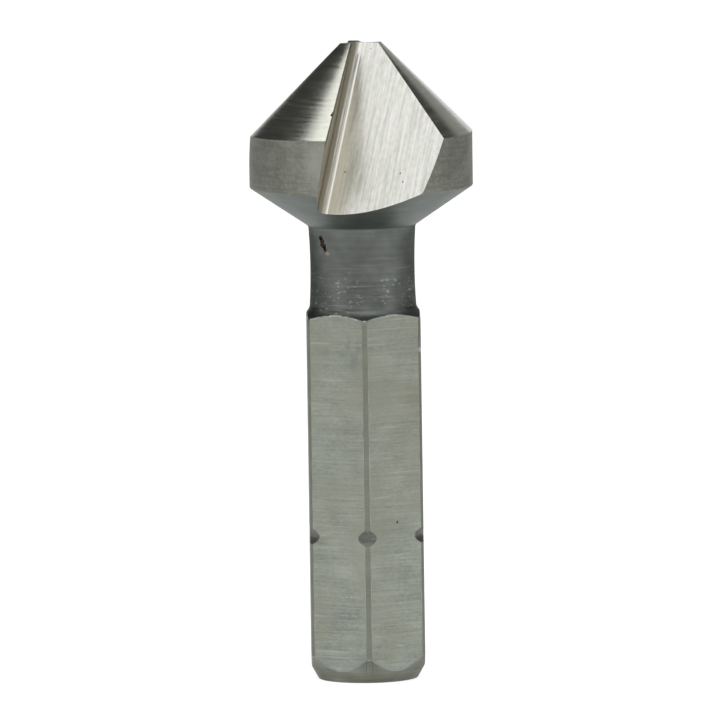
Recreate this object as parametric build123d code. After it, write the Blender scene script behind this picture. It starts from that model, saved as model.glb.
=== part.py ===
from build123d import *
import os
from math import asin, atan2, cos, degrees, hypot, radians, sin, tan

# Three-flute countersink bit, turned, milled and ground from one bar of high-speed steel.
# Millimetres and degrees. Z is the tool's axis, zero is the middle of the flat shank end, and
# the cutting cone points up. A corner of the hexagon faces -Y. Bearings are directions round
# the axis, from -Y towards +X. The tool cuts clockwise as seen from the shank.

# Hexagonal shank, milled from a turned blank, for a 1/4 in bit holder
hex_across_flats = 6.3
hex_across_corners = 7.1       # the blank's own diameter, left as narrow bands on the corners
shank_length = 20.5            # shank end to the top of each hexagon face
end_face_dia = 5.5
lead_in_angle = 30.0           # cone on the shank end, measured from the axis
shoulder_angle = 30.0          # cone on top of the shank, measured from level
notch_height = 8.15            # retaining notches in the six corners, above the shank end
notch_floor_dia = 6.76
notch_radius = 0.6

# Turned neck
neck_length = 4.7
neck_dia = 5.95                # at both ends
neck_waist_dia = 5.79          # in the middle
shoulder_blend = 0.6           # fillet from the shoulder into the neck
collar_blend = 0.25            # fillet from the neck into the head

# Cutting head
cutting_dia = 12.4
cone_angle = 90.0              # included angle that the bit cuts
tip_dia = 2.5                  # flat at the small end of the cone
band_length = 3.05             # parallel band behind the cone
back_angle = 56.0              # back cone, measured from the axis
rim_round = 0.15               # rounded rim between the band and the back cone

# Gullets, each ground by one straight pass of a V-shaped wheel, and the relief behind each edge
flute_turns = (0.0, 120.0, 232.0)   # flutes round the axis, spaced unevenly against chatter
gullet_opening = 75.0          # between the rake face and the gullet floor
gullet_root_radius = 0.35
gullet_slope = 25.4            # root line, measured from the axis
gullet_bearing = -30.0         # way in which the first root line runs outwards
rake_lean = 24.7               # rake face over the root line, which hooks the edge
web_depth = 0.22               # root line outwards of the axis, at the tip
web_offset = 0.30              # root line behind the axis
relief_offset = 0.12           # how far off the axis each land's cone is ground

# Radii, heights and angles that follow from the sizes above
corner_r = hex_across_corners / 2
flat_r = hex_across_flats / 2
end_r = end_face_dia / 2
neck_r = neck_dia / 2
waist_r = neck_waist_dia / 2
head_r = cutting_dia / 2
tip_r = tip_dia / 2
cone_spread = tan(radians(cone_angle / 2))
shoulder_fall = tan(radians(shoulder_angle))
lead_in_top = (corner_r - end_r) / tan(radians(lead_in_angle))
shoulder_base = shank_length - (corner_r - flat_r) * shoulder_fall
neck_base = shank_length - (neck_r - flat_r) * shoulder_fall
neck_top = neck_base + neck_length
band_base = neck_top + (head_r - neck_r) / tan(radians(back_angle))
cone_base = band_base + band_length
tip_height = cone_base + (head_r - tip_r) / cone_spread
apex_height = tip_height + tip_r / cone_spread
flute_sector = 360 / len(flute_turns)


def outwards(bearing):
    """Level unit vector away from the axis at a bearing."""
    return Vector(sin(radians(bearing)), -cos(radians(bearing)), 0)


def turned_blank():
    """The blank off the lathe. Its nose stays parallel until the lands are ground."""
    corner_top = (corner_r, shoulder_base)
    shank = Polyline((0, 0), (end_r, 0), (corner_r, lead_in_top), corner_top, (neck_r, neck_base))
    neck = ThreePointArc((neck_r, neck_base), (waist_r, (neck_base + neck_top) / 2), (neck_r, neck_top))
    head = Polyline((neck_r, neck_top), (head_r, band_base), (head_r, tip_height), (0, tip_height), (0, 0))
    section = make_face(shank + neck + head)
    blends = (
        (neck_r, neck_base, shoulder_blend),
        (neck_r, neck_top, collar_blend),
        (head_r, band_base, rim_round),
    )
    for radius, height, blend in blends:
        corner = section.vertices().sort_by_distance((radius, height, 0))[0]
        section = fillet(corner, blend)
    return revolve(Plane.XZ * section, Axis.Z)


def hexagon_waste():
    """What milling takes off round the hexagon."""
    hexagon = RegularPolygon(flat_r, 6, major_radius=False, rotation=30)
    return extrude(Circle(cutting_dia) - hexagon, neck_base + shoulder_blend)


def notch_ring():
    """Round-bottomed groove, shallow enough to touch only the corners of the hexagon."""
    return Pos(0, 0, notch_height) * Torus(notch_floor_dia / 2 + notch_radius, notch_radius)


# The wheel's section stands square to the root line: x runs across the gullet, y out of the metal
gullet_heading = outwards(gullet_bearing)
gullet_across = outwards(gullet_bearing + 90)
root_start = gullet_heading * web_depth - gullet_across * web_offset + Vector(0, 0, tip_height)
root_line = gullet_heading * sin(radians(gullet_slope)) - Vector(0, 0, cos(radians(gullet_slope)))
wheel_plane = Plane(root_start, x_dir=gullet_across, z_dir=root_line)


def wheel_pass():
    """The V-shaped wheel's straight pass, which leaves a rake face, a round root and a floor."""
    reach = cutting_dia
    rake_end = Vector(reach, 0).rotate(Axis.Z, 90 - rake_lean)
    floor_end = Vector(reach, 0).rotate(Axis.Z, 90 - rake_lean - gullet_opening)
    wheel = make_face(Polyline((0, 0), floor_end, rake_end, close=True))
    root = wheel.vertices().sort_by_distance((0, 0, 0))[0]
    return extrude(wheel_plane * fillet(root, gullet_root_radius), 2 * reach, both=True)


def edge_bearing():
    """Bearing of the first cutting edge, where its rake face meets the rim of the cone."""
    lean = radians(rake_lean)
    rake_normal = wheel_plane.x_dir * cos(lean) - wheel_plane.y_dir * sin(lean)
    offset = rake_normal.dot(root_start) - rake_normal.Z * cone_base
    spread = hypot(rake_normal.X, rake_normal.Y) * head_r
    return degrees(asin(offset / spread) + atan2(rake_normal.Y, rake_normal.X))


def relief_waste():
    """What relief grinding takes off one land: all that lies outside a cone set off the axis.

    The cone is set off at right angles to the cutting edge, so the land has its full size at
    the edge and falls away steadily behind it. Both sides of the sector lie in gullets.
    """
    edge = edge_bearing()
    overlap = cutting_dia / 4
    height = apex_height - cone_base + overlap
    land_cone = Cone(height * cone_spread, 0, height, align=(Align.CENTER, Align.CENTER, Align.MIN))
    front = edge + flute_sector / 4
    rim = [outwards(front - flute_sector * part) * 2 * cutting_dia for part in (0, 0.5, 1)]
    sector = extrude(make_face(Polyline((0, 0), *rim, close=True)), tip_height - cone_base + overlap)
    waste = sector - Pos(outwards(edge + 90) * relief_offset) * land_cone
    return Pos(0, 0, cone_base - overlap) * waste


def round_the_axis(cutter):
    """One copy of a cutter for each flute."""
    return [Rot(0, 0, turn) * cutter for turn in flute_turns]


countersink_bit = turned_blank() - hexagon_waste() - notch_ring()
countersink_bit -= round_the_axis(relief_waste())
countersink_bit -= round_the_axis(wheel_pass())

os.makedirs("parts", exist_ok=True)
export_step(countersink_bit, "parts/countersink_bit.step")
print(f"overall length {tip_height:.2f}, volume {countersink_bit.volume:.0f}")
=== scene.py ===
from math import asin, atan2, copysign, cos, degrees, hypot, pi, radians, sin, tan

import bmesh
import bpy
from mathutils import Matrix, Vector


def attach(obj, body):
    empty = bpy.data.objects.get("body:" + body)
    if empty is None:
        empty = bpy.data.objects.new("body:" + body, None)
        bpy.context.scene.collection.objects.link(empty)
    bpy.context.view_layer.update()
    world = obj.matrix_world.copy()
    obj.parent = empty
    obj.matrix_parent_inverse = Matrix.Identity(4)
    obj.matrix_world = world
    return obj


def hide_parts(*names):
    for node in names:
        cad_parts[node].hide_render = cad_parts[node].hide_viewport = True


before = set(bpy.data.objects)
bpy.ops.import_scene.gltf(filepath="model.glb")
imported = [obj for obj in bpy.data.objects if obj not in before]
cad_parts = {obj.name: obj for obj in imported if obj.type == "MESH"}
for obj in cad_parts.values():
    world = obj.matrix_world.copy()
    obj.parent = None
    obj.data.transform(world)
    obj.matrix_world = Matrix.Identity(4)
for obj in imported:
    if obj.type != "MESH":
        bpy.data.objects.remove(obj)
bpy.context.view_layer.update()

# ---------------------------------------------------------------------------------------------
# Turned blank. The bit starts as a bar of high-speed steel on a lathe: a shank as thick as the
# hexagon's corners, a slightly waisted neck, and a head whose nose is parallel until the cone is
# ground. It stands on its shank end. Sizes are millimetres until the machining tree scales them.
# ---------------------------------------------------------------------------------------------
MM = 0.001
hexagon_corners = 7.1
hexagon_flats = 6.3
shank_length = 20.5
end_face_dia = 5.5
lead_in_angle = 30.0
shoulder_angle = 30.0
neck_length = 4.7
neck_dia = 5.95
neck_waist_dia = 5.79
shoulder_blend = 0.6
collar_blend = 0.25
cutting_dia = 12.4
tip_dia = 2.5
back_angle = 56.0
band_length = 3.05
rim_round = 0.15
facets_round = 288
neck_rings = 12
blend_rings = 6

corner_r = hexagon_corners / 2
flat_r = hexagon_flats / 2
neck_r = neck_dia / 2
head_r = cutting_dia / 2
shoulder_fall = tan(radians(shoulder_angle))
lead_in_top = (corner_r - end_face_dia / 2) / tan(radians(lead_in_angle))
shoulder_base = shank_length - (corner_r - flat_r) * shoulder_fall
neck_base = shank_length - (neck_r - flat_r) * shoulder_fall
neck_top = neck_base + neck_length
band_base = neck_top + (head_r - neck_r) / tan(radians(back_angle))
cone_base = band_base + band_length
apex_height = cone_base + head_r
tip_height = apex_height - tip_dia / 2


def rounded(before, corner, after, radius, steps):
    """Points of the arc that rounds one corner of a flat outline."""
    corner = Vector(corner)
    back, onwards = (Vector(before) - corner).normalized(), (Vector(after) - corner).normalized()
    half = back.angle(onwards) / 2
    centre = corner + (back + onwards).normalized() * radius / sin(half)
    first, last = (corner + way * radius / tan(half) - centre for way in (back, onwards))
    turn = first.angle_signed(last)
    turns = [-turn * step / steps for step in range(steps + 1)]
    return [centre + Matrix.Rotation(angle, 2) @ first for angle in turns]


def turned_outline():
    """Radius and height along the blank's surface, from the shank end's middle to the nose's."""
    waist = (neck_dia - neck_waist_dia) / 2
    neck = []
    for ring in range(1, neck_rings):
        share = ring / neck_rings
        slimmer = waist * 4 * share * (1 - share)
        neck.append((neck_r - slimmer, neck_base + share * neck_length))
    shoulder, foot, collar = (corner_r, shoulder_base), (neck_r, neck_base), (neck_r, neck_top)
    rim, nose = (head_r, band_base), (head_r, tip_height)
    return [
        (0, 0),
        (end_face_dia / 2, 0),
        (corner_r, lead_in_top),
        shoulder,
        *rounded(shoulder, foot, neck[0], shoulder_blend, blend_rings),
        *neck[1:-1],
        *rounded(neck[-1], collar, rim, collar_blend, blend_rings),
        *rounded(collar, rim, nose, rim_round, blend_rings),
        nose,
        (0, tip_height),
    ]


def turned_mesh(outline):
    """Closed mesh of an outline turned round the axis, which its two ends lie on."""
    work = bmesh.new()
    around = [radians(360 * facet / facets_round) for facet in range(facets_round)]
    rings = []
    for radius, height in outline:
        places = [(radius * cos(angle), radius * sin(angle), height) for angle in around]
        rings.append([work.verts.new(place) for place in (places if radius else places[:1])])
    for lower, upper in zip(rings, rings[1:]):
        for here in range(facets_round):
            there = (here + 1) % facets_round
            below = [lower[here], lower[there]] if len(lower) > 1 else lower
            above = [upper[there], upper[here]] if len(upper) > 1 else upper
            work.faces.new(below + above)
    mesh = bpy.data.meshes.new("turned_blank")
    work.to_mesh(mesh)
    work.free()
    return mesh


class Feed:
    """An output of a node, with the arithmetic that the trees of this script use."""

    def __init__(self, socket):
        self.socket = socket

    def add(self, kind, settings=None, sockets=None, out=0):
        """Adds a node to the feed's tree, sets it, joins its sockets and gives one output."""
        node = self.socket.id_data.nodes.new(kind)
        for name, value in (settings or {}).items():
            setattr(node, name, value)
        for name, value in (sockets or {}).items():
            if isinstance(value, Feed):
                self.socket.id_data.links.new(value.socket, node.inputs[name])
            else:
                node.inputs[name].default_value = value
        return Feed(node.outputs[out])

    def math(self, operation, *values):
        """A Math node on feeds and plain numbers."""
        return self.add("ShaderNodeMath", {"operation": operation}, dict(enumerate(values)))

    def __add__(self, other):
        return self.math("ADD", self, other)

    def __sub__(self, other):
        return self.math("SUBTRACT", self, other)

    def __rsub__(self, other):
        return self.math("SUBTRACT", other, self)

    def __mul__(self, other):
        return self.math("MULTIPLY", self, other)

    def __truediv__(self, other):
        return self.math("DIVIDE", self, other)

    __radd__ = __add__
    __rmul__ = __mul__


def new_steel(name):
    """A bare metal's node tree: its shader and the feed of the piece's own coordinates in mm."""
    material = bpy.data.materials.new(name)
    material.use_nodes = True
    nodes = material.node_tree.nodes
    shader = nodes["Principled BSDF"]
    shader.inputs["Metallic"].default_value = 1.0
    place = Feed(nodes.new("ShaderNodeTexCoord").outputs["Object"])
    place = place.add("ShaderNodeVectorMath", {"operation": "SCALE"}, {0: place, "Scale": 1 / MM})
    return material, shader, place


def height_of(place):
    """Height above the shank end, in the unit of the place."""
    return place.add("ShaderNodeSeparateXYZ", {}, {"Vector": place}, out=2)


def lined(place, along, across, seed=0.0, detail=2.0):
    """Noise drawn out along the level rings of a turned or cross-ground surface, from 0 to 1."""
    stretch = {"Location": (seed, seed, seed), "Scale": (along, along, across)}
    vector = place.add("ShaderNodeMapping", {}, {"Vector": place, **stretch})
    return place.add("ShaderNodeTexNoise", {}, {"Vector": vector, "Scale": 1.0, "Detail": detail})


def ramp(value, low, high):
    """0 at low, 1 at high, a straight rise between, and level outside. Low may be the greater."""
    return value.add("ShaderNodeMapRange", {}, {"Value": value, "From Min": low, "From Max": high})


# Numbers of the sockets of a Mix node that mixes colours.
mix_factor, mix_first, mix_second, mix_result = 0, 6, 7, 2


def mixed(mask, first, second):
    """The first colour where the mask is 0 and the second where it is 1."""
    sockets = {mix_factor: mask}
    for key, shade in ((mix_first, first), (mix_second, second)):
        sockets[key] = shade if isinstance(shade, Feed) else (*shade, 1)
    return mask.add("ShaderNodeMix", {"data_type": "RGBA"}, sockets, out=mix_result)


def spot(place, centre, reach):
    """1 in a small patch round a point, 0 past its rim. Reach holds its half-sizes in mm."""
    stretch = {
        "Location": [-middle / half for middle, half in zip(centre, reach)],
        "Scale": [1 / half for half in reach],
    }
    vector = place.add("ShaderNodeMapping", {}, {"Vector": place, **stretch})
    far = place.add("ShaderNodeVectorMath", {"operation": "LENGTH"}, {0: vector}, out=1)
    return ramp(far, 1.0, 0.4)


def finish_steel(material, shader, colour, roughness, height, lift):
    """Joins a finish's colour, roughness and fine relief to its shader."""
    links = material.node_tree.links
    bump = {"Height": height, "Distance": lift * MM, "Strength": 1.0}
    links.new(colour.socket, shader.inputs["Base Color"])
    links.new(roughness.socket, shader.inputs["Roughness"])
    links.new(height.add("ShaderNodeBump", {}, bump).socket, shader.inputs["Normal"])
    return material


def faced_end_steel():
    """Flat ends: fine turning rings round the axis."""
    material, shader, place = new_steel("faced_end_steel")
    flat = place.add("ShaderNodeVectorMath", {"operation": "MULTIPLY"}, {0: place, 1: (1, 1, 0)})
    radius = place.add("ShaderNodeVectorMath", {"operation": "LENGTH"}, {0: flat}, out=1)
    sockets = {"W": radius * rings_per_mm, "Scale": 1.0}
    rings = place.add("ShaderNodeTexNoise", {"noise_dimensions": "1D"}, sockets)
    stains = lined(place, 0.8, 0.8, seed=21.0)
    tone = ramp(rings * 0.6 + stains * 0.4, 0.35, 0.65)
    colour = mixed(tone, (0.22, 0.23, 0.20), (0.36, 0.37, 0.33))
    return finish_steel(material, shader, colour, 0.38 + 0.12 * rings, rings, 0.006)


def turned_steel(name, dark, light, roughness, seed):
    """Plain turned surface: faint level rings and soft stains."""
    material, shader, place = new_steel(name)
    rings = lined(place, 0.3, 10.0, seed=seed)
    stains = lined(place, 0.7, 1.1, seed=seed + 5, detail=4.0)
    tone = ramp(rings * 0.4 + stains * 0.6, 0.35, 0.65)
    colour = mixed(tone, dark, light)
    return finish_steel(material, shader, colour, roughness + 0.08 * rings, rings, 0.003)


def turned_neck_steel():
    """Dark turned neck: fine rings, painted shade on its left side, a pale line at the collar that
    is a painted highlight, and rubbed flecks lower down.
    """
    material, shader, place = new_steel("turned_neck_steel")
    shader.inputs["Specular Tint"].default_value = (0.45, 0.47, 0.45, 1)
    height = height_of(place)
    rings = lined(place, 0.12, 9.0)
    stains = lined(place, 0.9, 1.1, seed=3.0, detail=4.0)
    tone = ramp(rings * 0.35 + stains * 0.65, 0.36, 0.64)
    colour = mixed(tone, (0.15, 0.162, 0.15), (0.217, 0.231, 0.217))
    # Painted shade: a dark patch over the left side of the neck.
    colour = mixed(spot(place, *shaded_side_spot) * 0.55, colour, (0.085, 0.093, 0.085))
    scored = ramp(lined(place, 0.5, 7.0, seed=17.0), 0.60, 0.70)
    pale = ramp(lined(place, 0.45, 8.0, seed=27.0), 0.60, 0.70)
    low = 0.3 + 0.7 * ramp(height, *scored_heights)
    colour = mixed(scored * low * 0.6, colour, (0.09, 0.095, 0.09))
    colour = mixed(pale * low * 0.4, colour, (0.38, 0.40, 0.38))
    clumps = ramp(lined(place, 0.7, 0.7, seed=8.0), 0.42, 0.62)
    flecks = ramp(lined(place, 3.2, 7.5, seed=7.0), 0.59, 0.68) * clumps
    flecks = flecks * ramp(height, *fleck_heights)
    # Painted highlight: a pale ring along the collar.
    collar = ramp((height - collar_highlight_height).math("ABSOLUTE"), 0.10, 0.03)
    colour = mixed(flecks * 0.75 + collar * 0.3, colour, (0.62, 0.64, 0.62))
    colour = mixed(spot(place, *stained_spot), colour, (0.42, 0.34, 0.22))
    return finish_steel(material, shader, colour, 0.38 + 0.10 * rings - 0.10 * flecks,
                        rings + 0.5 * lined(place, 0.3, 25.0), 0.009)


def ground_band_steel():
    """Ground rim of the head: matt, finely mottled, with faint level lines, dark at the cone."""
    material, shader, place = new_steel("ground_band_steel")
    mottle = lined(place, 5.0, 6.0, seed=31.0, detail=3.0)
    stains = lined(place, 0.9, 1.0, seed=32.0, detail=4.0)
    lines = lined(place, 0.4, 9.0, seed=33.0)
    tone = ramp(mottle * 0.4 + stains * 0.35 + lines * 0.25, 0.38, 0.62)
    colour = mixed(tone, (0.21, 0.22, 0.185), (0.34, 0.35, 0.30))
    # A lighter patch on the band beside the first flute.
    colour = mixed(spot(place, *lighter_rim_spot) * 0.5, colour, (0.52, 0.53, 0.47))
    joint = ramp((height_of(place) - cone_base).math("ABSOLUTE"), 0.10, 0.02)
    colour = mixed(joint * 0.6, colour, (0.09, 0.09, 0.08))
    return finish_steel(material, shader, colour, 0.44 + 0.10 * mottle, mottle + lines, 0.004)


rings_per_mm = 9.0
scored_heights = (24.4, 22.4)
fleck_heights = (23.6, 21.2)
# Height of the painted highlight ring at the collar.
collar_highlight_height = neck_top + 0.02
stained_spot = (-1.97, -2.14, 23.93), (0.2, 0.2, 0.13)
# Painted shade on the left side of the neck: its middle and half-sizes in mm.
shaded_side_spot = (-2.85, -0.80, 22.3), (0.95, 1.5, 3.2)
# The lighter patch on the band: its middle and half-sizes in mm.
lighter_rim_spot = (-2.2, -5.8, 29.3), (1.5, 0.9, 1.9)
blank = bpy.data.objects.new("blank", turned_mesh(turned_outline()))
end_steel = faced_end_steel()
blank.data.materials.append(end_steel)

# Each turned finish lies between two of these heights, from the shank end to the nose.
end_margin = 0.01
collar_margin = 0.08
rim_margin = 0.05
finish_heights = (
    end_margin,
    lead_in_top,
    shoulder_base,
    neck_top + collar_margin,
    band_base - rim_margin,
    tip_height - end_margin,
)
turned_finishes = (
    turned_steel("lead_in_steel", (0.205, 0.215, 0.175), (0.33, 0.34, 0.29), 0.42, 11),
    turned_steel("corner_steel", (0.275, 0.285, 0.235), (0.345, 0.357, 0.30), 0.40, 12),
    turned_neck_steel(),
    turned_steel("back_cone_steel", (0.165, 0.186, 0.175), (0.225, 0.25, 0.235), 0.36, 13),
    ground_band_steel(),
)

# ---------------------------------------------------------------------------------------------
# Hexagonal shank. Six flats are milled and ground across, which leaves the lathe's own surface
# as narrow bands on the corners. A round-bottomed groove, cut in the lathe before, is left only
# as a notch in each corner, for the ball or spring ring of a bit holder.
# ---------------------------------------------------------------------------------------------
notch_height = 8.15
notch_floor_dia = 6.76
notch_radius = 0.6
cutter_facets = 64


def ground_flat_steel():
    """Grey flats: level grinding lines, bluish and olive stains, a few light scratches, and
    painted shade that darkens them towards the top.
    """
    material, shader, place = new_steel("ground_flat_steel")
    lines = lined(place, 0.25, 11.0, seed=1.0)
    broad = lined(place, 0.4, 2.2, seed=9.0, detail=3.0)
    stains = lined(place, 0.6, 0.5, seed=5.0, detail=5.0)
    olive = ramp(lined(place, 0.5, 0.35, seed=6.0, detail=5.0), 0.42, 0.64)
    bluish = ramp(lined(place, 0.9, 0.8, seed=15.0, detail=5.0), 0.46, 0.68)
    grain = lined(place, 4.0, 9.0, seed=16.0, detail=3.0)
    tone = ramp(lines * 0.3 + broad * 0.2 + stains * 0.25 + grain * 0.25, 0.40, 0.60)
    colour = mixed(tone, (0.30, 0.325, 0.28), (0.50, 0.53, 0.46))
    colour = mixed(olive * 0.5, colour, (0.43, 0.44, 0.335))
    colour = mixed(bluish * 0.35, colour, (0.36, 0.385, 0.35))
    colour = mixed(spot(place, *browned_spot) * 0.4, colour, (0.36, 0.33, 0.25))
    # Painted shade: the flats grow darker towards the top of the shank.
    upper = ramp(height_of(place), *shaded_top_heights)
    colour = mixed(upper * 0.35, colour, (0.285, 0.30, 0.245))
    patches = ramp(lined(place, 2.0, 1.6, seed=22.0), 0.42, 0.58)
    smudge = spot(place, *smudged_spot) * patches
    colour = mixed(smudge * 0.4, colour, (0.22, 0.245, 0.235))
    light = ramp(lined(place, 0.35, 6.0, seed=19.0), 0.62, 0.70) * 0.35
    broken = ramp(lined(place, 6.0, 6.0, seed=20.0), 0.40, 0.55)
    for scratch in flat_scratches:
        light = light + spot(place, *scratch) * broken
    colour = mixed(light * 0.75, colour, (0.62, 0.65, 0.61))
    return finish_steel(material, shader, colour, 0.42 + 0.08 * lines - 0.06 * light, lines, 0.004)


def milled_groove_steel():
    """Dull grey of the notches in the corners, with a few lighter flecks."""
    material, shader, place = new_steel("milled_groove_steel")
    lines = lined(place, 1.5, 9.0, seed=2.0)
    flecks = ramp(lined(place, 3.5, 5.0, seed=37.0), 0.58, 0.68)
    colour = mixed(lines, (0.15, 0.155, 0.14), (0.26, 0.265, 0.245))
    colour = mixed(flecks * 0.6, colour, (0.45, 0.465, 0.435))
    return finish_steel(material, shader, colour, 0.45 + 0.1 * lines, lines, 0.005)


def worn_edge_highlight_steel():
    """Edges of the shank, rubbed light by the bit holder and painted lighter still as a highlight,
    and darker again at the very end.
    """
    material, shader, place = new_steel("worn_edge_highlight_steel")
    rubbed = ramp(lined(place, 1.2, 1.2, seed=41.0, detail=4.0), 0.40, 0.60)
    # Painted highlight over real wear: the rounded edges get a light colour.
    colour = mixed(rubbed, (0.38, 0.405, 0.36), (0.62, 0.67, 0.63))
    end = ramp(height_of(place), *dark_edge_heights)
    colour = mixed(end * 0.6, colour, (0.24, 0.265, 0.25))
    return finish_steel(material, shader, colour, 0.40 - 0.08 * rubbed, rubbed, 0.002)


# Heights over which the painted shade on the flats grows, in mm.
shaded_top_heights = (6.0, 19.0)
dark_edge_heights = (3.0, 2.4)
browned_spot = (2.38, -2.26, 16.0), (1.1, 1.1, 1.0)
smudged_spot = (-0.7, -3.2, 18.5), (1.3, 1.0, 1.3)
flat_scratches = (
    ((-0.96, -3.08, 4.85), (0.85, 0.85, 0.05)),
    ((-0.98, -3.07, 3.82), (0.80, 0.80, 0.04)),
    ((1.89, -2.55, 5.52), (0.26, 0.26, 0.06)),
    ((0.74, -3.21, 2.80), (0.10, 0.10, 0.12)),
    ((1.73, -2.64, 2.08), (0.45, 0.45, 0.05)),
)
flat_steel = ground_flat_steel()
groove_steel = milled_groove_steel()
edge_highlight_steel = worn_edge_highlight_steel()
edge_wear = 0.05

# ---------------------------------------------------------------------------------------------
# Flutes and lands. A V-shaped wheel grinds each flute in one straight pass, down and outwards
# from the tip, and leaves a rake face, a round root and a broad floor. The nose is then ground
# to a cone, set a little off the axis so that each land falls away behind its cutting edge.
# ---------------------------------------------------------------------------------------------
flute_turns = (0.0, 120.0, 232.0)
gullet_opening = 75.0
gullet_root_radius = 0.35
gullet_slope = 25.4
gullet_bearing = -30.0
rake_lean = 24.7
web_depth = 0.22
web_offset = 0.30
relief_offset = 0.12
root_steps = 12
land_sector = 120.0
land_below = 3.0
land_above = 1.0

# Slots of the wheel's materials. Slot 0 is for its far ends, which never reach the bit.
floor_slot, rake_slot, root_slot = 1, 2, 3

# The flutes' map: how far apart they lie on it, and the bearing of the first flute's faces.
chart_spacing = 40.0
flute_middle = gullet_bearing + 40.0


def outwards(bearing):
    """Level unit vector away from the axis, at a bearing from -Y towards +X."""
    return Vector((sin(radians(bearing)), -cos(radians(bearing)), 0))


gullet_heading = outwards(gullet_bearing)
gullet_across = outwards(gullet_bearing + 90)
root_start = gullet_heading * web_depth - gullet_across * web_offset + Vector((0, 0, tip_height))
slope = radians(gullet_slope)
root_line = gullet_heading * sin(slope) - Vector((0, 0, cos(slope)))
wheel_up = root_line.cross(gullet_across)


def edge_bearing():
    """Bearing of the first cutting edge at the rim of the cone."""
    rake_normal = gullet_across * cos(radians(rake_lean)) - wheel_up * sin(radians(rake_lean))
    offset = rake_normal.dot(root_start) - rake_normal.z * cone_base
    spread = hypot(rake_normal.x, rake_normal.y) * head_r
    return degrees(asin(offset / spread) + atan2(rake_normal.y, rake_normal.x))


def prism(name, first, second, slots=None):
    """Closed object between two like outlines, with a material slot for each side face."""
    work = bmesh.new()
    ends = [[work.verts.new(point) for point in outline] for outline in (first, second)]
    for here in range(len(first)):
        there = (here + 1) % len(first)
        side = work.faces.new((ends[0][here], ends[0][there], ends[1][there], ends[1][here]))
        if slots:
            side.material_index = slots[here]
    for end in ends:
        work.faces.new(end)
    bmesh.ops.recalc_face_normals(work, faces=work.faces)
    mesh = bpy.data.meshes.new(name)
    work.to_mesh(mesh)
    work.free()
    return bpy.data.objects.new(name, mesh)


def flute_wheel():
    """The wheel's straight pass along the root line, as the metal that it takes away."""
    reach = 2 * cutting_dia
    leans = (radians(rake_lean), radians(rake_lean + gullet_opening))
    rake, floor = (Vector((sin(lean), cos(lean))) * reach for lean in leans)
    outline = [floor, rake, *rounded(rake, (0, 0), floor, gullet_root_radius, root_steps)]
    section = [root_start + gullet_across * point.x + wheel_up * point.y for point in outline]
    slots = [floor_slot, rake_slot, *[root_slot] * root_steps, floor_slot]
    start, finish = ([point + root_line * far for point in section] for far in (-reach, reach))
    return prism("flute_wheel", start, finish, slots)


def land_sector_waste():
    """A wedge over one land, from one flute to the next, before the land's cone is taken out."""
    front = edge_bearing() + land_sector / 4
    rim = [outwards(front - land_sector * part) * 2 * cutting_dia for part in (0, 0.5, 1)]
    heights = (cone_base - land_below, tip_height + land_above)
    corners = (Vector(), *rim)
    lower, upper = ([(corner.x, corner.y, height) for corner in corners] for height in heights)
    return prism("land_waste", lower, upper)


def ground_land_steel():
    """Ground cone: fine level streaks and a few bright flecks on a smooth, thinly hazed face."""
    material, shader, place = new_steel("ground_land_steel")
    lines = lined(place, 0.35, 7.0, seed=4.0)
    colour = mixed(lines, (0.58, 0.585, 0.51), (0.84, 0.845, 0.76))
    flecks = ramp(lined(place, 5.0, 7.0, seed=45.0), 0.70, 0.76)
    colour = mixed(flecks, colour, (0.95, 0.95, 0.92))
    hazed = ramp(lined(place, 1.6, 2.4, seed=46.0, detail=3.0), 0.35, 0.70)
    return finish_steel(material, shader, colour, 0.135 + 0.15 * lines + 0.04 * hazed,
                        lines + 0.5 * lined(place, 0.6, 22.0), 0.0022)


def streaked(chart, across, along, detail):
    """Noise on a flute's map, from 0 to 1. Across and along are how fine it is each way."""
    vector = chart.add("ShaderNodeMapping", {}, {"Vector": chart, "Scale": (across, along, 1)})
    return chart.add("ShaderNodeTexNoise", {}, {"Vector": vector, "Scale": 1.0, "Detail": detail})


def flute_steel(name, dark, light, roughness, lift, tint, slanting=(1, 1, 1)):
    """Straight grinding streaks along a flute, read from the flute's own map in mm.

    Tint adds what differs from the root outwards: it returns the colour, and what is added to
    the roughness and to the height of the relief. Slanting is the tint of grazing light.
    """
    material, shader, place = new_steel(name)
    shader.inputs["Specular Tint"].default_value = (*slanting, 1)
    chart = place.add("ShaderNodeUVMap", {"uv_map": "grinding"})
    across = place.add("ShaderNodeSeparateXYZ", {}, {"Vector": chart}, out=0)
    along = place.add("ShaderNodeSeparateXYZ", {}, {"Vector": chart}, out=1)
    across = across + chart_spacing / 2
    across = across.math("FLOORED_MODULO", across, chart_spacing) - chart_spacing / 2
    streaks = streaked(chart, 7.5, 0.32, 5.0)
    bands = streaked(chart, 2.0, 0.16, 2.0)
    grain = streaked(chart, 5.0, 2.6, 3.0)
    tone = ramp(streaks * 0.6 + bands * 0.15 + grain * 0.25, 0.40, 0.60)
    colour, dulled, raised = tint(mixed(tone, dark, light), across, along, streaks)
    roughness = roughness + 0.12 * streaks + dulled
    return finish_steel(material, shader, colour, roughness, streaks + raised, lift)


def floor_tint(colour, across, along, streaks):
    """A painted highlight as a bright line where the floor leaves the root, and a beige strip that
    widens down it, painted as the rake face's reflection.
    """
    # Painted reflection: the beige strip beside the root stands for the rake face mirrored in the
    # floor.
    strip_width = 0.40 + 0.08 * along + 0.4 * streaks
    strip = ramp(across / strip_width, 1.2, 0.7)
    colour = mixed(strip * 0.7, colour, (0.88, 0.86, 0.75))
    # Painted highlight: a bright line where the floor leaves the root.
    line = ramp(across, 0.62, 0.52)
    return mixed(line, colour, highlight_white), 0.0, line_height * line


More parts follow.
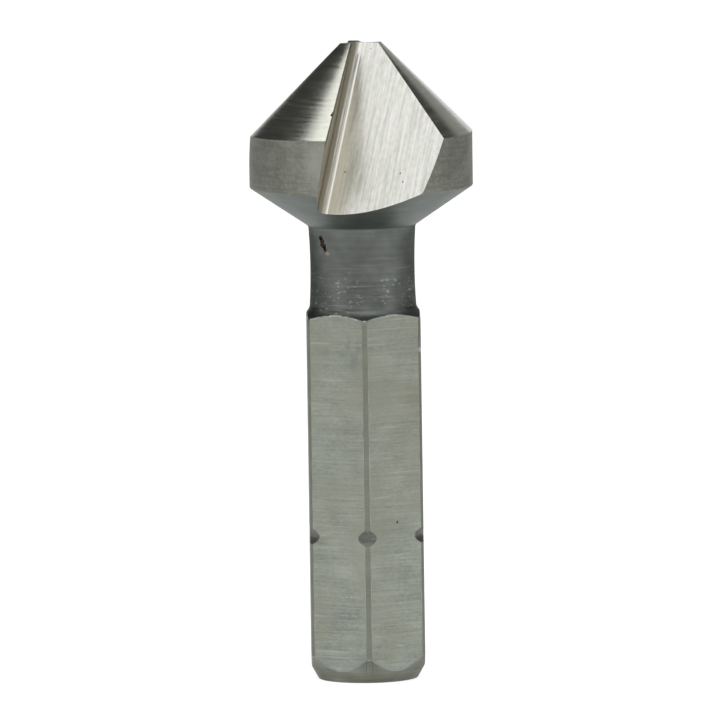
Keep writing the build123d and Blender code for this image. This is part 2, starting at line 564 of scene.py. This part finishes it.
def rake_tint(colour, across, along, streaks):
    """Browned beside the cutting edge, which lies further from the root lower down the flute."""
    behind = across + edge_spread * along + edge_distance
    browned = ramp(behind + 0.3 * streaks, 1.05, 0.50)
    return mixed(browned, colour, (0.185, 0.16, 0.12)), browned * 0.45, 0.0


def root_tint(colour, across, along, streaks):
    """Brown on the rake side, where chips turn, then dull, and a painted highlight where the floor
    begins.
    """
    browned = ramp(across + 0.1 * streaks, 0.39, 0.31)
    colour = mixed(browned, colour, (0.285, 0.26, 0.20))
    # Painted highlight: a bright line at the root's edge on the floor side.
    line = ramp(across, 0.38, 0.42)
    return mixed(line, colour, highlight_white), browned * 0.2, 0.0


def dented_steel():
    """Old nicks and pits, dark with dirt and rust, but pale low in the flutes and on the shank."""
    material, shader, place = new_steel("dented_steel")
    dirt = lined(place, 6.0, 6.0, seed=51.0)
    colour = mixed(ramp(dirt, 0.45, 0.65), (0.035, 0.03, 0.025), (0.16, 0.12, 0.08))
    height = height_of(place)
    pale = ramp(height, neck_top, band_base) * ramp(height, *dark_chip_heights)
    colour = mixed(pale * 0.8, colour, (0.42, 0.36, 0.26))
    bare = spot(place, knocked_corner, (0.6, 0.6, 0.6))
    colour = mixed(bare, colour, (0.62, 0.64, 0.60))
    return finish_steel(material, shader, colour, 0.55 + 0.2 * dirt, dirt, 0.01)


# Colour of the painted highlight along the edge of each flute's root.
highlight_white = (1.0, 1.0, 0.96)
line_height = 5.0
edge_distance = 0.85
edge_spread = 0.38
floor_shades = (0.70, 0.71, 0.635), (1.0, 1.0, 0.945)
rake_shades = (0.67, 0.64, 0.56), (0.84, 0.815, 0.745)
root_shades = (0.50, 0.50, 0.445), (0.68, 0.685, 0.63)
rake_slanting = (0.36, 0.325, 0.26)
wheel = flute_wheel()
for steel in (
    groove_steel,
    flute_steel("flute_floor_steel", *floor_shades, 0.26, 0.010, floor_tint),
    flute_steel("flute_rake_steel", *rake_shades, 0.30, 0.006, rake_tint, rake_slanting),
    flute_steel("flute_root_steel", *root_shades, 0.22, 0.006, root_tint),
):
    wheel.data.materials.append(steel)
land_waste = land_sector_waste()
land_steel = ground_land_steel()

# Old damage, each as small round dents with their middles and radii.
knocked_corner = (3.18, -1.84, 18.46)
dark_chip_heights = (31.6, 31.2)
dents = (
    # A nick in the neck.
    ((-2.35, -1.83, 24.78), 0.15),
    ((-2.27, -1.90, 24.60), 0.17),
    ((-2.30, -1.86, 24.42), 0.12),
    ((-2.17, -2.00, 24.32), 0.16),
    ((-2.11, -2.05, 24.13), 0.11),
    # Three chips in a cutting edge. The first is made of two dents.
    ((-1.64, -4.59, 31.85), 0.09),
    ((-1.60, -4.49, 31.95), 0.06),
    ((-0.78, -1.98, 34.60), 0.035),
    ((-1.00, -2.64, 33.90), 0.035),
    # Pits in the front flute and beside the nose.
    ((2.21, -4.60, 28.09), 0.05),
    ((2.09, -4.33, 28.54), 0.05),
    ((-0.94, -3.26, 28.56), 0.05),
    ((0.63, -0.55, 35.14), 0.03),
    # A dot on a flat, and the corner that is knocked in at the shoulder.
    ((1.67, -2.67, 8.97), 0.06),
    (knocked_corner, 0.20),
)
dent_points = bpy.data.meshes.new("dent_points")
dent_points.from_pydata([centre for centre, reach in dents], [], [])
dent_reach = dent_points.attributes.new("reach", "FLOAT", "POINT")
for item, (centre, reach) in zip(dent_reach.data, dents):
    item.value = reach
old_dents = bpy.data.objects.new("old_dents", dent_points)
dent_steel = dented_steel()

# The machining tree takes the waste off the blank, cut by cut. Its inputs are the sizes of the
# cutters and the tools that are already made.
sizes = {
    "Across flats": hexagon_flats,
    "Hexagon top": neck_base + shoulder_blend,
    "Notch height": notch_height,
    "Notch ring": notch_floor_dia / 2 + notch_radius,
    "Notch radius": notch_radius,
    "Land foot": cone_base - land_below,
    "Land height": apex_height - cone_base + land_below,
}
tools = {"Flute wheel": wheel, "Land waste": land_waste, "Old dents": old_dents}
tree = bpy.data.node_groups.new("machining", "GeometryNodeTree")
for flow in ("INPUT", "OUTPUT"):
    tree.interface.new_socket("Geometry", in_out=flow, socket_type="NodeSocketGeometry")
for name in sizes:
    tree.interface.new_socket(name, in_out="INPUT", socket_type="NodeSocketFloat")
for name in tools:
    tree.interface.new_socket(name, in_out="INPUT", socket_type="NodeSocketObject")
given = {socket.name: Feed(socket) for socket in tree.nodes.new("NodeGroupInput").outputs}
bar = given["Geometry"]


def cut(body, cutter, crossing=False):
    """Takes a cutter's space out of a body. Crossing says that the cutter's parts may cross."""
    settings = {"operation": "DIFFERENCE", "solver": "EXACT"}
    sockets = {"Mesh 1": body, "Mesh 2": cutter, "Self Intersection": crossing}
    return bar.add("GeometryNodeMeshBoolean", settings, sockets)


def faced(body, steel, where=True):
    """Gives faces a material. A cutter's own material passes to the faces that it cuts."""
    sockets = {"Geometry": body, "Material": steel, "Selection": where}
    return bar.add("GeometryNodeSetMaterial", {}, sockets)


def moved(body, **placing):
    """Places, turns or scales a body, by the sockets of a Transform node."""
    return bar.add("GeometryNodeTransform", {}, {"Geometry": body, **placing})


def joined(pieces):
    """Several bodies as one."""
    whole = bar.add("GeometryNodeJoinGeometry", {}, {"Geometry": pieces[0]})
    for piece in pieces[1:]:
        tree.links.new(piece.socket, whole.socket.node.inputs["Geometry"])
    return whole


def round_the_axis(cutter):
    """A copy of a cutter for each flute, turned to the flute's own bearing."""
    return [moved(cutter, Rotation=(0, 0, radians(turn))) for turn in flute_turns]


# The flats: a round bar less the hexagon, up to the blend of the neck, is what is milled away.
cylinder = "GeometryNodeMeshCylinder"
top = given["Hexagon top"]
sockets = {"Vertices": cutter_facets, "Radius": cutting_dia, "Depth": top * 2}
round_bar = bar.add(cylinder, {}, sockets)
hexagon_r = given["Across flats"] / (2 * cos(radians(30)))
hexagon = bar.add(cylinder, {}, {"Vertices": 6, "Radius": hexagon_r, "Depth": top * 3})
hexagon = faced(moved(hexagon, Rotation=(0, 0, radians(30))), flat_steel)
body = cut(bar, cut(round_bar, hexagon))

# The notches: a ring as thick as the groove, of which only the corners are in the metal.
circle = "GeometryNodeCurvePrimitiveCircle"
ring = bar.add(circle, {}, {"Resolution": facets_round, "Radius": given["Notch ring"]})
section = bar.add(circle, {}, {"Resolution": cutter_facets, "Radius": given["Notch radius"]})
groove = bar.add("GeometryNodeCurveToMesh", {}, {"Curve": ring, "Profile Curve": section})
groove_place = bar.add("ShaderNodeCombineXYZ", {}, {"Z": given["Notch height"]})
body = cut(body, faced(moved(groove, Translation=groove_place), groove_steel))

# The lands: over each, a wedge less a cone that stands off the axis, away from the edge.
height = given["Land height"]
sockets = {"Vertices": facets_round, "Radius Top": 0, "Radius Bottom": height, "Depth": height}
cone = bar.add("GeometryNodeMeshCone", {}, sockets)
relief = outwards(edge_bearing() + 90) * relief_offset
sockets = {"X": relief.x, "Y": relief.y, "Z": given["Land foot"]}
cone_place = bar.add("ShaderNodeCombineXYZ", {}, sockets)
cone = faced(moved(cone, Translation=cone_place), land_steel)
space = bar.add("GeometryNodeObjectInfo", {}, {"Object": given["Land waste"]}, out="Geometry")
body = cut(body, joined(round_the_axis(cut(space, cone))), crossing=True)

# The flutes and the dents: the wheel's pass at each bearing, and a ball for each dent.
space = bar.add("GeometryNodeObjectInfo", {}, {"Object": given["Flute wheel"]}, out="Geometry")
points = bar.add("GeometryNodeObjectInfo", {}, {"Object": given["Old dents"]}, out="Geometry")
ball = bar.add("GeometryNodeMeshIcoSphere", {}, {"Radius": 1.0, "Subdivisions": 3})
reach = bar.add("GeometryNodeInputNamedAttribute", {"data_type": "FLOAT"}, {"Name": "reach"})
sockets = {"Points": points, "Instance": ball, "Scale": reach}
balls = bar.add("GeometryNodeInstanceOnPoints", {}, sockets)
balls = faced(bar.add("GeometryNodeRealizeInstances", {}, {"Geometry": balls}), dent_steel)
body = cut(body, joined([*round_the_axis(space), balls]), crossing=True)

# Metres and finishes: only faces that still have the blank's own steel are turned ones.
body = bar.add("GeometryNodeRealizeInstances", {}, {"Geometry": moved(body, Scale=(MM, MM, MM))})
height = height_of(bar.add("GeometryNodeInputPosition"))
uncut = bar.add("GeometryNodeMaterialSelection", {}, {"Material": end_steel})
for low, high, steel in zip(finish_heights, finish_heights[1:], turned_finishes):
    above = height.math("GREATER_THAN", height, low * MM)
    below = height.math("LESS_THAN", height, high * MM)
    body = faced(body, steel, uncut * above * below)
tree.links.new(body.socket, tree.nodes.new("NodeGroupOutput").inputs["Geometry"])

bpy.context.scene.collection.objects.link(blank)
machining = blank.modifiers.new("machining", "NODES")
machining.node_group = tree
for item in tree.interface.items_tree:
    value = {**sizes, **tools}.get(item.name)
    if value is not None:
        machining[item.identifier] = value
blank.update_tag()
depsgraph = bpy.context.evaluated_depsgraph_get()
bit_mesh = bpy.data.meshes.new_from_object(blank.evaluated_get(depsgraph))
for leftover in (blank, wheel, land_waste, old_dents):
    bpy.data.objects.remove(leftover)

bit = bpy.data.objects.new("ground_bit", bit_mesh)
bpy.context.scene.collection.objects.link(bit)


def clean_edges(mesh):
    """Merges the points that the cuts left all but on top of each other."""
    work = bmesh.new()
    work.from_mesh(mesh)
    bmesh.ops.remove_doubles(work, verts=work.verts, dist=least_gap * MM)
    bmesh.ops.dissolve_degenerate(work, edges=work.edges, dist=least_edge * MM)
    work.to_mesh(mesh)
    work.free()


def map_grinding(mesh):
    """Maps each flute's faces in mm: off the root line, rake side negative, and along it."""
    middle_lean = radians(rake_lean + gullet_opening / 2)
    chart = mesh.uv_layers.new(name="grinding")
    for face in mesh.polygons:
        bearing = degrees(atan2(face.center.x, -face.center.y))
        offsets = [(bearing - flute_middle - turn + 180) % 360 - 180 for turn in flute_turns]
        flute = min(range(len(flute_turns)), key=lambda which: abs(offsets[which]))
        back = Matrix.Rotation(-radians(flute_turns[flute]), 3, "Z")
        for corner in face.loop_indices:
            point = back @ mesh.vertices[mesh.loops[corner].vertex_index].co / MM - root_start
            side, rise = point.dot(gullet_across), point.dot(wheel_up)
            away = copysign(hypot(side, rise), side * cos(middle_lean) - rise * sin(middle_lean))
            chart.data[corner].uv = (away + chart_spacing * flute, point.dot(root_line))


def wear_edges(mesh):
    """Marks the shank's edges to be rounded, and parts the shading where two finishes meet."""
    steels = list(mesh.materials)
    shank = {steels.index(steel) for steel in (flat_steel, *turned_finishes[:2])}
    upright = {steels.index(steel) for steel in (flat_steel, turned_finishes[1])}
    small = {steels.index(steel) for steel in (groove_steel, dent_steel)}
    cuts = {steels.index(steel) for steel in steels if steel not in (*turned_finishes, end_steel)}
    work = bmesh.new()
    work.from_mesh(mesh)
    weight = work.edges.layers.float.new("bevel_weight_edge")
    for edge in work.edges:
        pair = {face.material_index for face in edge.link_faces}
        bend = edge.calc_face_angle(0)
        worn = pair & shank and not pair & small and bend > radians(least_worn_bend)
        edge[weight] = (upright_wear if pair == upright else 1.0) if worn else 0.0
        edge.smooth = bend < radians(sharp_bend) and not (len(pair) > 1 and pair & cuts)
    for face in work.faces:
        face.smooth = True
    work.to_mesh(mesh)
    work.free()


least_gap = 0.002
least_edge = 0.0005
least_worn_bend = 15.0
sharp_bend = 22.0
upright_wear = 0.3
clean_edges(bit_mesh)
map_grinding(bit_mesh)
wear_edges(bit_mesh)
# The rounded edges take the light steel, which is partly a painted highlight.
bit_mesh.materials.append(edge_highlight_steel)
rubbed_edges = bit.modifiers.new("rubbed_edges", "BEVEL")
rubbed_edges.limit_method = "WEIGHT"
rubbed_edges.width = edge_wear * MM
rubbed_edges.segments = 2
rubbed_edges.use_clamp_overlap = False
rubbed_edges.material = len(bit_mesh.materials) - 1
even_shading = bit.modifiers.new("even_shading", "WEIGHTED_NORMAL")
even_shading.keep_sharp = True
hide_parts("countersink_bit")
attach(bit, "root")

# ---------------------------------------------------------------------------------------------
# Floor and backdrop: a wide sheet of white paper under the bit, and plain white behind it. The
# paper keeps the shadow of the bit, and is what the steel mirrors low down. Sizes are metres.
# ---------------------------------------------------------------------------------------------
floor_size = 3.0
seen_lift = 0.75
mirrored_lift = 0.3
ambient = 0.04


def white_paper():
    """White paper: a matt surface under light, lifted to full white where no shadow falls."""
    material = bpy.data.materials.new("white_paper")
    material.use_nodes = True
    nodes, links = material.node_tree.nodes, material.node_tree.links
    shader = nodes["Principled BSDF"]
    shader.inputs["Base Color"].default_value = (0.8, 0.8, 0.8, 1)
    shader.inputs["Roughness"].default_value = 1.0
    rays = nodes.new("ShaderNodeLightPath").outputs
    lift = Feed(rays["Is Camera Ray"]) * seen_lift + Feed(rays["Is Glossy Ray"]) * mirrored_lift
    shader.inputs["Emission Color"].default_value = (1, 1, 1, 1)
    links.new(lift.socket, shader.inputs["Emission Strength"])
    return material


half = floor_size / 2
floor_mesh = bpy.data.meshes.new("floor")
corners = [(-half, -half, 0), (half, -half, 0), (half, half, 0), (-half, half, 0)]
floor_mesh.from_pydata(corners, [], [(0, 1, 2, 3)])
floor_mesh.materials.append(white_paper())
piece = bpy.data.objects.new("floor", floor_mesh)
bpy.context.scene.collection.objects.link(piece)

world = bpy.data.worlds.new("studio")
bpy.context.scene.world = world
world.use_nodes = True
background = world.node_tree.nodes["Background"]
rays = world.node_tree.nodes.new("ShaderNodeLightPath").outputs
seen = Feed(rays["Is Camera Ray"])
world.node_tree.links.new((seen * (1 - ambient) + ambient).socket, background.inputs["Strength"])
background.inputs["Color"].default_value = (1, 1, 1, 1)

# ---------------------------------------------------------------------------------------------
# Lamps: ten softboxes round the bit, which are also what the bright steel mirrors. Each has its
# place, what it faces, its width and height in metres, and its own brightness, where 1 is white.
# ---------------------------------------------------------------------------------------------
bit_middle = (0, 0, 0.02)
softboxes = (
    ("ceiling", (-0.08, -0.185, 0.48), (-0.08, -0.185, 0), 0.75, 0.53, 1.3),
    ("left_panel", (-0.43, -0.25, 0.14), bit_middle, 0.34, 0.26, 0.93),
    ("right_panel", (0.43, -0.25, 0.14), bit_middle, 0.34, 0.26, 0.85),
    ("front_fill", (0.0, -1.3, 0.33), bit_middle, 1.3, 0.3, 0.6),
    ("front_top", (0.20, -0.60, 0.38), bit_middle, 0.7, 0.35, 0.8),
    ("back_sweep", (0.0, 0.7, 0.1), bit_middle, 0.9, 0.2, 0.8),
    ("back_glow", (0.30, 0.65, 0.33), bit_middle, 0.8, 0.26, 0.25),
    ("right_top", (0.47, 0.0, 0.40), bit_middle, 0.3, 0.36, 0.5),
    ("left_top", (-0.62, 0.05, 0.36), bit_middle, 0.3, 0.34, 0.5),
    ("back_top", (0.0, 0.45, 0.42), bit_middle, 0.28, 0.25, 0.5),
)
for name, place, aim, width, height, glow in softboxes:
    lamp = bpy.data.lights.new(name, "AREA")
    lamp.shape = "RECTANGLE"
    lamp.size, lamp.size_y = width, height
    lamp.energy = glow * pi * width * height
    piece = bpy.data.objects.new(name, lamp)
    piece.location = place
    piece.rotation_euler = (Vector(place) - Vector(aim)).to_track_quat("Z", "Y").to_euler()
    bpy.context.scene.collection.objects.link(piece)

# ---------------------------------------------------------------------------------------------
# Camera: a long lens from the front, a little above level, and leaning a trifle. It looks at a
# point on the bit's axis, which lies a few pixels away from the middle of the view.
# ---------------------------------------------------------------------------------------------
view_azimuth = radians(-1.0)
view_elevation = radians(6.05)
view_roll = radians(0.85)
view_distance = 0.88
view_pixels = 720
pixels_per_mm = 18.002
view_width = view_pixels / pixels_per_mm * MM
aim_height = 17.5 * MM
aim_pixels = (3.9, -4.5)

level = cos(view_elevation)
back = Vector((sin(view_azimuth) * level, -cos(view_azimuth) * level, sin(view_elevation)))
turn = back.to_track_quat("Z", "Y") @ Matrix.Rotation(-view_roll, 3, "Z").to_quaternion()
pixel = view_width / view_pixels
lens = bpy.data.cameras.new("camera")
lens.sensor_width = 36.0
lens.lens = lens.sensor_width * view_distance / view_width
camera = bpy.data.objects.new("camera", lens)
camera.rotation_mode = "QUATERNION"
camera.rotation_quaternion = turn
aim = Vector((0, 0, aim_height)) - turn @ Vector((aim_pixels[0] * pixel, aim_pixels[1] * pixel, 0))
camera.location = aim + back * view_distance
bpy.context.scene.collection.objects.link(camera)
bpy.context.scene.camera = camera
bpy.context.scene.view_settings.view_transform = "Standard"
